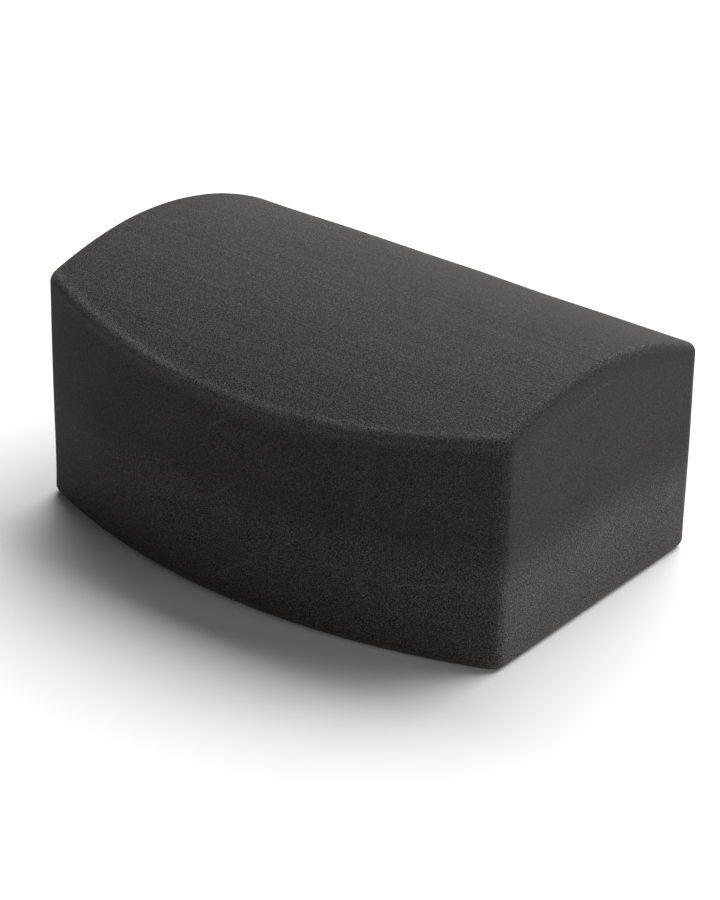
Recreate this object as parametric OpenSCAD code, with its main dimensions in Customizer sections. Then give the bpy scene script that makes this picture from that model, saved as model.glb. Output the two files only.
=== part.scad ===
// Foam block: one solid piece of closed-cell foam with an arched top and a bowed front.
// It rests on its flat underside, with its flat back towards +Y and its bowed front towards -Y.
// All sizes are in millimetres. The origin is at the middle of the footprint, on the underside.

/* [Overall size] */
// Length from one end face to the other
body_length = 220; // [160:1:300]
// Depth from the flat back to the middle of the bowed front
body_depth = 150; // [115:1:200]
// Height to the top of the crown
body_height = 105; // [80:1:140]

/* [Curves] */
// How far the crown rises above the top of the flat back
crown_rise = 18.5; // [8:0.5:26]
// How far the middle of the front stands out past its corners
front_bow = 23; // [8:1:34]

/* [Edges] */
// Radius of the four upright corners
corner_radius = 6; // [4:0.5:14]
// Radius that eases the edges round the top and the underside
edge_radius = 4; // [2:0.5:6]

/* [Hidden] */

curve_facets = 480; // facets in a full turn of the true curves
ease_steps = 6;     // facets from a side face over to the top or the underside
ease_clear = 0.05;  // the easing's own flats lie this far outside the true faces
chord_gap = 0.02;   // the most that a step of the easing falls short of the arc it follows
turn_clear = 0.01;  // an upright corner's circle is this much larger, so that it crosses both faces
overshoot = 10;     // how far a cutting shape runs past the block

half_length = body_length / 2;
half_depth = body_depth / 2;
upright_radius = max(corner_radius, edge_radius);

// Radius of an arc that rises by "rise" over a chord of twice "half_chord"
function arc_radius(half_chord, rise) = (half_chord * half_chord + rise * rise) / (2 * rise);

// Straight steps that follow an arc of "sweep" degrees to within chord_gap
function arc_steps(radius, sweep) = ceil(sweep / (2 * acos(1 - chord_gap / radius)));

crown_radius = arc_radius(half_depth, crown_rise);
crown_axis_z = body_height - crown_radius;
bow_radius = arc_radius(half_length, front_bow);
bow_axis_y = bow_radius - half_depth;

// Centres of the two upright corners on the +X side, each touching the end face from inside
corner_x = half_length - upright_radius;
back_corner = [corner_x, half_depth - upright_radius];
front_corner = [corner_x, bow_axis_y - sqrt(pow(bow_radius - upright_radius, 2) - corner_x * corner_x)];

// Direction from +X in which the front corner's arc runs into the bow
bow_meet = atan2(front_corner[1] - bow_axis_y, corner_x);
bow_sweep = 90 + bow_meet;
bow_steps = arc_steps(bow_radius, bow_sweep);

// How far each corner leans from the top of the crown, as seen along X
crown_inset = crown_radius - edge_radius;
front_lean = asin(front_corner[1] / crown_inset);
back_lean = asin(back_corner[1] / crown_inset);
end_steps = arc_steps(crown_radius, back_lean - front_lean);

// Stations along the edges of the +X half, from the middle of the front to the middle of the back.
// Each holds a point of the outline drawn in by edge_radius, and the outward direction there.
function turn_station(centre, radius, angle) = [centre + radius * [cos(angle), sin(angle)], angle];
inset_turn = upright_radius - edge_radius;
front_turn_steps = arc_steps(upright_radius, -bow_meet);
back_turn_steps = arc_steps(upright_radius, 90);
stations = [
    for (i = [0:bow_steps - 1])
        turn_station([0, bow_axis_y], bow_radius - edge_radius, bow_sweep * i / bow_steps - 90),
    for (i = [0:front_turn_steps])
        turn_station(front_corner, inset_turn, bow_meet * (1 - i / front_turn_steps)),
    for (i = [1:end_steps - 1])
        let (lean = front_lean + (back_lean - front_lean) * i / end_steps)
        [[half_length - edge_radius, crown_inset * sin(lean)], 0],
    for (i = [0:back_turn_steps])
        turn_station(back_corner, inset_turn, 90 * i / back_turn_steps)
];
last = len(stations) - 1;

// The way out of the crown at a depth "y"
function crown_way(y) = [0, y, sqrt(crown_inset * crown_inset - y * y)] / crown_inset;

// Where the easing lies: turned a part "t" of the way from the side face towards the way "top"
function eased_point(station, z, top, t) =
    let (side = [cos(station[1]), sin(station[1]), 0],
         bend = acos(side * top))
    [station[0][0], station[0][1], z]
        + (edge_radius + ease_clear) * (sin((1 - t) * bend) * side + sin(t * bend) * top) / sin(bend);

function top_point(station, t) =
    let (way = crown_way(station[0][1]))
    eased_point(station, crown_axis_z + crown_inset * way[2], way, t);
function under_point(station, t) = eased_point(station, edge_radius, [0, 0, -1], t);

// One level of the eased skin, right round the block: the +X half and then its mirror image
function mirrored(points) = concat(points, [for (i = [last:-1:1]) let (p = points[i]) [-p[0], p[1], p[2]]]);
levels = concat(
    [for (k = [ease_steps:-1:0]) mirrored([for (s = stations) under_point(s, k / ease_steps)])],
    [for (k = [0:ease_steps]) mirrored([for (s = stations) top_point(s, k / ease_steps)])]
);
around = 2 * last + 1;
top_start = (len(levels) - 1) * around;

// The skin is closed below and above by strips along X, between two stations and their mirror images
function strip(i) = i == 0 ? [0, 1, around - 1] : [i, i + 1, around - i - 1, around - i];

// The sliver between an upright corner's arc and the sharp corner outside it
module corner_waste(centre, from, to) {
    reach = 2 * upright_radius;
    difference() {
        polygon([
            centre,
            for (a = [from, (from + to) / 2, to]) centre + reach * [cos(a), sin(a)]
        ]);
        translate(centre) circle(r = upright_radius + turn_clear, $fn = curve_facets);
    }
}

// Outline from above: flat back, square ends, bowed front and round corners
module plan_outline() {
    difference() {
        intersection() {
            translate([0, bow_axis_y]) circle(r = bow_radius, $fn = curve_facets);
            translate([-half_length, -body_depth]) square([body_length, body_depth + half_depth]);
        }
        for (side = [0, 1]) mirror([side, 0]) {
            corner_waste(front_corner, bow_meet, 0);
            corner_waste(back_corner, 0, 90);
        }
    }
}

// The crown is part of a long drum that lies along X
module crown_drum() {
    translate([-half_length - overshoot, 0, crown_axis_z])
        rotate([0, 90, 0])
            cylinder(r = crown_radius, h = body_length + 2 * overshoot, $fn = curve_facets);
}

// A closed skin just outside the block that rounds every edge over
module eased_skin() {
    polyhedron(
        points = [for (level = levels) for (p = level) p],
        faces = concat(
            [for (k = [0:len(levels) - 2]) for (i = [0:around - 1])
                let (j = (i + 1) % around)
                [k * around + i, (k + 1) * around + i, (k + 1) * around + j, k * around + j]],
            [for (i = [0:last - 1]) strip(i)],
            [for (i = [0:last - 1]) let (s = strip(i)) [for (k = [len(s) - 1:-1:0]) top_start + s[k]]]
        )
    );
}

module foam_block() {
    color("#4a4845") intersection() {
        linear_extrude(height = body_height + overshoot) plan_outline();
        crown_drum();
        eased_skin();
    }
}

foam_block();
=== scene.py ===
"""A foam block for exercise and support: one piece of charcoal closed-cell foam with an arched top,
a bowed front, square ends and a flat back, standing on its flat underside."""

import math

import bmesh
import bpy
from mathutils import Matrix, Quaternion, Vector, noise


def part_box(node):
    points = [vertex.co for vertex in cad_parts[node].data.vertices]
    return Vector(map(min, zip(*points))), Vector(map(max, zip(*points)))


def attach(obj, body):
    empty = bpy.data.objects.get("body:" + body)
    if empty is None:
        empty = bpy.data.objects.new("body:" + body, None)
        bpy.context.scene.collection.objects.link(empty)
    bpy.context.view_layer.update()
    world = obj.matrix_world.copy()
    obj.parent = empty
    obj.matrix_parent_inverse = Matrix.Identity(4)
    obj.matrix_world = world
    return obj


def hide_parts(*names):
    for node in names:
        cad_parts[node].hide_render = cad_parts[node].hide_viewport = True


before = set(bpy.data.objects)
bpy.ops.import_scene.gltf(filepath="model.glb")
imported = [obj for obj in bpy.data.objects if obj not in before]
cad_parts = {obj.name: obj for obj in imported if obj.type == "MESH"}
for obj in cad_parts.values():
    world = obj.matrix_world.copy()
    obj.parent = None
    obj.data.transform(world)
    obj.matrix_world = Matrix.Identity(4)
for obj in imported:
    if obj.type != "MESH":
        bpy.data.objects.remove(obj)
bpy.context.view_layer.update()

# ---- The foam block ----
# One block, cut from a bun of charcoal closed-cell EVA foam that is dyed right through. A saw gives
# the arched top and the bowed front, and leaves slight waves and faint lines. A rounding-over cutter
# then eases every edge, and the eased edges are painted a little lighter, partly as rubbing and partly as a
# painted highlight.

low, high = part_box("foam_block")
half_length, back, front = high.x, high.y, low.y
depth, height = back - front, high.z - low.z
crown_rise = 0.0185
front_bow = 0.023
corner_radius, corner_segments = 0.006, 7
edge_radius, edge_segments = 0.004, 6
row_gap = 0.0023
wave_length, wave_height, wave_fade = 0.045, 0.0004, 0.01
touching, nearly = 1e-6, 0.8


def arc_radius(half_chord, rise):
    """Radius of an arc that rises by that much over a chord of twice half_chord."""
    return (half_chord ** 2 + rise ** 2) / (2 * rise)


crown_radius = arc_radius(depth / 2, crown_rise)
crown_axis_z = height - crown_radius
bow_radius = arc_radius(half_length, front_bow)
bow_axis_y = front + bow_radius


def crown_height(y):
    """Height of the arched top at a depth y."""
    return crown_axis_z + math.sqrt(crown_radius ** 2 - y ** 2)


def bowed_front(x):
    """Depth of the bowed front at a place x along the block."""
    return bow_axis_y - math.sqrt(bow_radius ** 2 - x ** 2)


def cut_rows(foam, axis, start, end):
    """Cuts even rows of edges square to an axis, between two places along it."""
    square = Vector([float(i == axis) for i in range(3)])
    for place in (start, end):
        everything = foam.verts[:] + foam.edges[:] + foam.faces[:]
        bmesh.ops.bisect_plane(foam, geom=everything, plane_co=square * place, plane_no=square,
                               dist=touching)
    span = end - start
    along = [e for e in foam.edges if abs(e.verts[0].co[axis] - e.verts[1].co[axis]) > span / 2]
    bmesh.ops.subdivide_edges(foam, edges=along, cuts=round(span / row_gap) - 1, use_grid_fill=True)


# A plain slab of foam, with rows of edges that stay clear of the corners and rims
foam = bmesh.new()
middle = (low + high) / 2
bmesh.ops.create_cube(foam, size=1, matrix=Matrix.Translation(middle) @ Matrix.Diagonal((*(high - low), 1)))
plan_margin = 1.3 * corner_radius
rim_margin = 1.5 * edge_radius
cut_rows(foam, 0, low.x + plan_margin, high.x - plan_margin)
cut_rows(foam, 1, low.y + plan_margin, high.y - plan_margin)
cut_rows(foam, 2, low.z + rim_margin, high.z - rim_margin)

# The saw's two cuts: the bow draws the front in towards the ends, and the crown lowers the top
# towards the front and the back
for v in foam.verts:
    v.co.y = back - (back - v.co.y) * (back - bowed_front(v.co.x)) / depth
    v.co.z = v.co.z * crown_height(v.co.y) / height

# The upright corners: the bow meets the ends at a blunter angle than the back does
bow_lean = math.asin(half_length / bow_radius)
for is_front, turn in ((True, math.pi / 2 - bow_lean), (False, math.pi / 2)):
    uprights = [e for e in foam.edges
                if all(abs(v.co.x) > half_length - 10 * touching for v in e.verts)
                and e.calc_face_angle() > turn * nearly
                and abs(e.verts[0].co.y - e.verts[1].co.y) < touching
                and (e.verts[0].co.y < 0) == is_front]
    bmesh.ops.bevel(foam, geom=uprights, offset=corner_radius * math.tan(turn / 2), offset_type="OFFSET",
                    affect="EDGES", segments=corner_segments, profile=0.5, clamp_overlap=False,
                    loop_slide=True, material=-1)

# The rims: a wider cut where the faces meet squarely keeps the same radius all round
rim_width = foam.edges.layers.float.new("bevel_weight_edge")
for e in foam.edges:
    turn = e.calc_face_angle()
    if turn > math.radians(45):
        e[rim_width] = min(1.0, math.tan(turn / 2))

mesh = bpy.data.meshes.new("foam_block_body")
foam.to_mesh(mesh)
foam.free()
rough_cut = bpy.data.objects.new("foam_block_cut", mesh)
bpy.context.scene.collection.objects.link(rough_cut)
cutter = rough_cut.modifiers.new("rounding_over", "BEVEL")
cutter.limit_method = "WEIGHT"
cutter.offset_type = "OFFSET"
cutter.width = edge_radius
cutter.segments = edge_segments
cutter.profile = 0.5
cutter.material = -1
cutter.use_clamp_overlap = False
mesh = bpy.data.meshes.new_from_object(rough_cut.evaluated_get(bpy.context.evaluated_depsgraph_get()))
bpy.data.objects.remove(rough_cut)

# The saw's slight waves, which die out towards the flat underside
foam = bmesh.new()
foam.from_mesh(mesh)
bmesh.ops.recalc_face_normals(foam, faces=foam.faces)
foam.normal_update()
for v in foam.verts:
    grip = min(1.0, v.co.z / wave_fade)
    v.co += v.normal * wave_height * grip * noise.noise(v.co / wave_length)
for f in foam.faces:
    f.smooth = True
foam.to_mesh(mesh)
foam.free()
block = bpy.data.objects.new("foam_block_piece", mesh)
bpy.context.scene.collection.objects.link(block)


class Amount:
    """A number that changes over the surface; sums on it become Math nodes."""

    def __init__(self, finish, socket):
        self.finish, self.socket = finish, socket

    def maths(self, operation, *others):
        """The outcome of a Math operation on this number and the others."""
        sockets = dict(enumerate((self, *others)))
        return Amount(self.finish, self.finish.node("Math", {"operation": operation}, sockets).outputs[0])

    def __add__(self, other):
        return self.maths("ADD", other)

    def __sub__(self, other):
        return self.maths("SUBTRACT", other)

    def __mul__(self, other):
        return self.maths("MULTIPLY", other)

    def __truediv__(self, other):
        return self.maths("DIVIDE", other)

    def __rsub__(self, other):
        return (self * -1.0) + other

    __radd__ = __add__
    __rmul__ = __mul__

    def __abs__(self):
        return self.maths("ABSOLUTE")

    def between(self, start, end):
        """0 up to start and 1 past end, with a soft step between."""
        settings = {"interpolation_type": "SMOOTHSTEP"}
        sockets = {"Value": self, "From Min": start, "From Max": end}
        return Amount(self.finish, self.finish.node("MapRange", settings, sockets).outputs[0])

    def within(self, reach):
        """1 where this is nothing, falling softly to 0 where it is that reach."""
        return 1 - (self / reach).between(0.0, 1.0)

    def band(self, middle, core, edge):
        """1 within a core of a middle value, falling softly to 0 at an edge away from it."""
        return 1 - abs(self - middle).between(core, edge)


class Finish:
    """The shader nodes of a material, or of the sky."""

    def __init__(self, owner):
        owner.use_nodes = True
        self.tree = owner.node_tree
        self.tree.nodes.clear()

    def node(self, kind, settings=None, sockets=None):
        """A node of that kind, with its settings made first and its sockets then filled or joined."""
        made = self.tree.nodes.new("ShaderNode" + kind)
        for name, value in (settings or {}).items():
            setattr(made, name, value)
        for name, value in (sockets or {}).items():
            if isinstance(value, Amount):
                value = value.socket
            if isinstance(value, bpy.types.NodeSocket):
                self.tree.links.new(value, made.inputs[name])
            else:
                made.inputs[name].default_value = value
        return made

    def cloud(self, place, size, detail):
        """Soft random patches about that size, as a number round 0."""
        sockets = {"Vector": place, "Scale": 1 / size, "Detail": detail, "Roughness": 0.5}
        made = self.node("TexNoise", {"noise_dimensions": "3D"}, sockets)
        return Amount(self, made.outputs["Fac"]) - 0.5

    def cells(self, place, size):
        """Cut cells about that size, as a number round 0 that is lowest in the middle of each."""
        sockets = {"Vector": place, "Scale": 1 / size, "Randomness": 1.0}
        made = self.node("TexVoronoi", {"voronoi_dimensions": "3D", "feature": "F1"}, sockets)
        return Amount(self, made.outputs["Distance"]) - 0.5

    def stretched(self, place, along, across):
        """Object coordinates squeezed so that a pattern of size 1 runs along the block."""
        sockets = {"Vector": place, "Scale": (1 / along, 1 / across, 1 / across)}
        return self.node("Mapping", {"vector_type": "POINT"}, sockets).outputs["Vector"]


def stroke(a, b, start, end, width):
    """1 along a straight stroke over a face that is measured by a and b, and 0 past its width."""
    step_a, step_b = end[0] - start[0], end[1] - start[1]
    run = ((a - start[0]) * step_a + (b - start[1]) * step_b) / (step_a ** 2 + step_b ** 2)
    run = run.maths("MAXIMUM", 0.0).maths("MINIMUM", 1.0)
    off_a, off_b = a - start[0] - run * step_a, b - start[1] - run * step_b
    return 1 - (off_a * off_a + off_b * off_b).maths("SQRT").between(width * 0.2, width)


charcoal_foam = bpy.data.materials.new("charcoal_foam")
charcoal = Finish(charcoal_foam)
place = charcoal.node("TexCoord").outputs["Object"]
axes = charcoal.node("SeparateXYZ", None, {"Vector": place}).outputs
x, y, z = (Amount(charcoal, axis) for axis in axes)

# How far each point lies inside the crown, the bow and the ends, and so which face it is on
skin = 0.002
under_crown = crown_radius - (y * y + (z - crown_axis_z) * (z - crown_axis_z)).maths("SQRT")
behind_bow = bow_radius - (x * x + (y - bow_axis_y) * (y - bow_axis_y)).maths("SQRT")
inside_end = half_length - abs(x)
on_top = under_crown.within(skin)
on_front = behind_bow.within(skin)
on_end = inside_end.within(skin)
on_right = (half_length - x).within(skin)
front_rim = (under_crown + behind_bow).within(1.5 * edge_radius)
end_rim = (under_crown + inside_end).within(1.2 * edge_radius)

# Sawn cells, a slow mottle, and the saw's faint lines along the length
grain_size, grain_strength = 0.00042, 6.0
cell_size, cell_strength = 0.0005, 2.4
mottle_size, mottle_strength = 0.028, 0.3
line_length, line_gap, line_strength = 0.07, 0.0009, 0.5
grain = charcoal.cloud(place, grain_size, detail=1.0)
cells = charcoal.cells(place, cell_size)
mottle = charcoal.cloud(place, mottle_size, detail=3.0)
saw_lines = charcoal.cloud(charcoal.stretched(place, line_length, line_gap), 1.0, detail=2.0) * (1 - on_end)

# Faint rubs and scratches, each from one point of its face to another, with its width and strength
front_marks = [
    ((-0.0115, 0.040), (0.0055, 0.054), 0.0009, 0.40),
    ((-0.0040, 0.011), (0.0110, 0.022), 0.0009, 0.55),
    ((-0.0090, 0.0715), (0.0, 0.079), 0.0009, 0.30),
    ((0.0945, 0.0515), (0.1060, 0.052), 0.0009, 0.50),
    ((0.0695, 0.029), (0.0950, 0.035), 0.0008, 0.35),
    ((0.0600, 0.020), (0.0595, 0.079), 0.0050, 0.10),
]
right_marks = [
    ((-0.0120, 0.0925), (0.0120, 0.0955), 0.0009, 0.45),
    ((0.0590, 0.027), (0.0620, 0.029), 0.0050, 0.30),
    ((0.0455, 0.0725), (0.0550, 0.051), 0.0040, 0.15),
]
marks = 1
for across, on_face, face_marks in ((x, on_front, front_marks), (y, on_right, right_marks)):
    for start, end, width, strength in face_marks:
        marks = marks + stroke(across, z, start, end, width) * on_face * strength

# The sides are painted darker than the crown, as shade. Low down they are lighter, partly as the lower of
# two bonded slabs and partly as painted bounce light, most of all on the ends, where the painted bounce
# light is. A painted shade line runs under the arc of each end, and a slightly dark line runs round the
# sides just over that change in tone.
change_start, change_end, end_spread = 0.036, 0.052, 0.3
painted_side_shade, low_gain, painted_end_bounce, painted_arc_shade_depth, change_loss = 0.77, 0.42, 0.75, 0.15, 0.05
change_level = z - on_end * (z - change_end) * end_spread
low_down = (1 - change_level.between(change_start, change_end)) * (1 - on_top)
# Painted shade: a darker band just under the arc of each end
painted_arc_shade = under_crown.band(middle=0.005, core=0.001, edge=0.005) * on_end
over_change = z.band(middle=0.054, core=0.001, edge=0.006) * (1 - on_top)
# Painted shade darkens the sides, and painted bounce light lightens them low down, most on the ends, on top
# of the slabs' own tones
slab_tone_and_painted_light = painted_side_shade + on_top * (1 - painted_side_shade) + low_down * (low_gain + on_end * painted_end_bounce)
slab_tone_and_painted_light = slab_tone_and_painted_light - painted_arc_shade * painted_arc_shade_depth - over_change * change_loss

# The front is painted darker towards its left, and the ends towards the back, as painted shade
left_start, left_painted_shade, back_painted_shade = 0.02, 0.28, 0.22
left_part = (-1 * x).between(left_start, half_length) * on_front
back_part = y.between(0.0, back) * on_end
# Painted shade, not a change in the foam itself
painted_falloff_shade = 1 - left_part * left_painted_shade - back_part * back_painted_shade

# The rims are rubbed smoother and painted lighter, partly as rubbing and partly as a painted highlight, the
# front one most at its left
front_rub_and_highlight, front_rub_and_highlight_slope, end_rub_and_highlight = 1.8, 5.0, 0.5
# Painted highlight along the rims, partly standing for rubbed edges
rub_and_painted_highlight = 1 + front_rim * (front_rub_and_highlight - x * front_rub_and_highlight_slope) + end_rim * end_rub_and_highlight

# The colour: cells and lines show most on the crown, and cells least on the front rim
more_cells_on_top, fewer_on_rim = 0.25, 0.6
foam_colour = (0.0218, 0.0208, 0.0187)
cut_cells = grain * grain_strength + cells * cell_strength
cut_cells = cut_cells * (1 + on_top * more_cells_on_top - front_rim * fewer_on_rim)
foam_tone = 1 + cut_cells + mottle * mottle_strength + saw_lines * (line_strength + on_top)
# The shade carries painted shade, painted bounce light and painted highlights as well as the foam's own
# tones
shade = foam_tone * slab_tone_and_painted_light * painted_falloff_shade * marks * rub_and_painted_highlight
tint = charcoal.node("VectorMath", {"operation": "SCALE"}, {0: foam_colour, "Scale": shade})

# The relief: rubbed flat on the front rim and nearly flat on the end ones
line_relief, end_rim_flattening = 0.3, 0.8
relief = grain + cells + saw_lines * line_relief
relief = relief * (1 - front_rim) * (1 - end_rim * end_rim_flattening)
bump = charcoal.node("Bump", None, {"Strength": 0.4, "Distance": 0.0002, "Height": relief})
surface = charcoal.node("BsdfPrincipled", None, {
    "Base Color": tint.outputs["Vector"],
    "Roughness": 0.8 + grain * 0.3,
    "Specular IOR Level": 0.17,
    "Sheen Weight": 0.08,
    "Sheen Roughness": 0.5,
    "Normal": bump.outputs["Normal"],
})
charcoal.node("OutputMaterial", None, {"Surface": surface.outputs["BSDF"]})
mesh.materials.clear()
mesh.materials.append(charcoal_foam)

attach(block, "root")
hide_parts("foam_block")

# ---- The studio ----
# A plain white table. A wide soft lamp hangs over and behind the block, a weak long one stands low in
# front of it and a small one low off its right end. The sky looks white and lights the block a little,
# and a long lens looks down on the front and the right end.

table_radius = 6
white = (1, 1, 1, 1)
table_white = (0.85, 0.85, 0.85, 1)
table_mesh = bpy.data.meshes.new("table")
table_top = bmesh.new()
bmesh.ops.create_circle(table_top, cap_ends=True, segments=96, radius=table_radius)
table_top.to_mesh(table_mesh)
table_top.free()
table = bpy.data.objects.new("table", table_mesh)
bpy.context.scene.collection.objects.link(table)
white_table = bpy.data.materials.new("white_table")
paper = Finish(white_table)
paper_surface = paper.node("BsdfPrincipled", None, {
    "Base Color": table_white,
    "Roughness": 0.9,
    "Specular IOR Level": 0.1,
})
paper.node("OutputMaterial", None, {"Surface": paper_surface.outputs["BSDF"]})
table_mesh.materials.append(white_table)


def soft_lamp(name, place, aim, width, length, power):
    """A soft box that faces a point."""
    lamp = bpy.data.lights.new(name, "AREA")
    lamp.shape = "RECTANGLE"
    lamp.size, lamp.size_y, lamp.energy = width, length, power
    made = bpy.data.objects.new(name, lamp)
    made.location = place
    made.rotation_euler = (Vector(place) - Vector(aim)).to_track_quat("Z", "Y").to_euler()
    bpy.context.scene.collection.objects.link(made)


soft_lamp("overhead_lamp", place=(0.0, 1.1, 1.65), aim=(0, 0, 0.08), width=2.8, length=1.6, power=91)
soft_lamp("front_lamp", place=(0.2, -1.6, 0.45), aim=(0, 0, 0.0), width=1.8, length=0.5, power=3.0)
soft_lamp("side_lamp", place=(1.9, -0.1, 0.4), aim=(0, 0, 0.05), width=1.0, length=0.6, power=12.5)

studio = bpy.data.worlds.new("studio")
bpy.context.scene.world = studio
sky = Finish(studio)
seen = sky.node("LightPath")
glow = sky.node("Background", None, {"Color": white, "Strength": 0.03})
backdrop = sky.node("Background", None, {"Color": white, "Strength": 1.0})
seen_or_lit = sky.node("MixShader", None, {
    0: seen.outputs["Is Camera Ray"],
    1: glow.outputs["Background"],
    2: backdrop.outputs["Background"],
})
sky.node("OutputWorld", None, {"Surface": seen_or_lit.outputs["Shader"]})
bpy.context.scene.view_settings.view_transform = "Standard"

aim = Vector((0.0068, -0.0029, 0.0382))
camera_distance = 1.2949
camera_turn, camera_rise, camera_roll = math.radians(37.467), math.radians(27.823), math.radians(1.147)
camera_way = Vector((math.sin(camera_turn) * math.cos(camera_rise),
                     -math.cos(camera_turn) * math.cos(camera_rise),
                     math.sin(camera_rise)))
lens = bpy.data.cameras.new("camera")
lens.sensor_fit = "AUTO"
lens.sensor_width = 36
lens.lens = 133.73
camera = bpy.data.objects.new("camera", lens)
camera.location = aim + camera_way * camera_distance
rolled = camera_way.to_track_quat("Z", "Y") @ Quaternion((0, 0, 1), camera_roll)
camera.rotation_euler = rolled.to_euler()
bpy.context.scene.collection.objects.link(camera)
bpy.context.scene.camera = camera
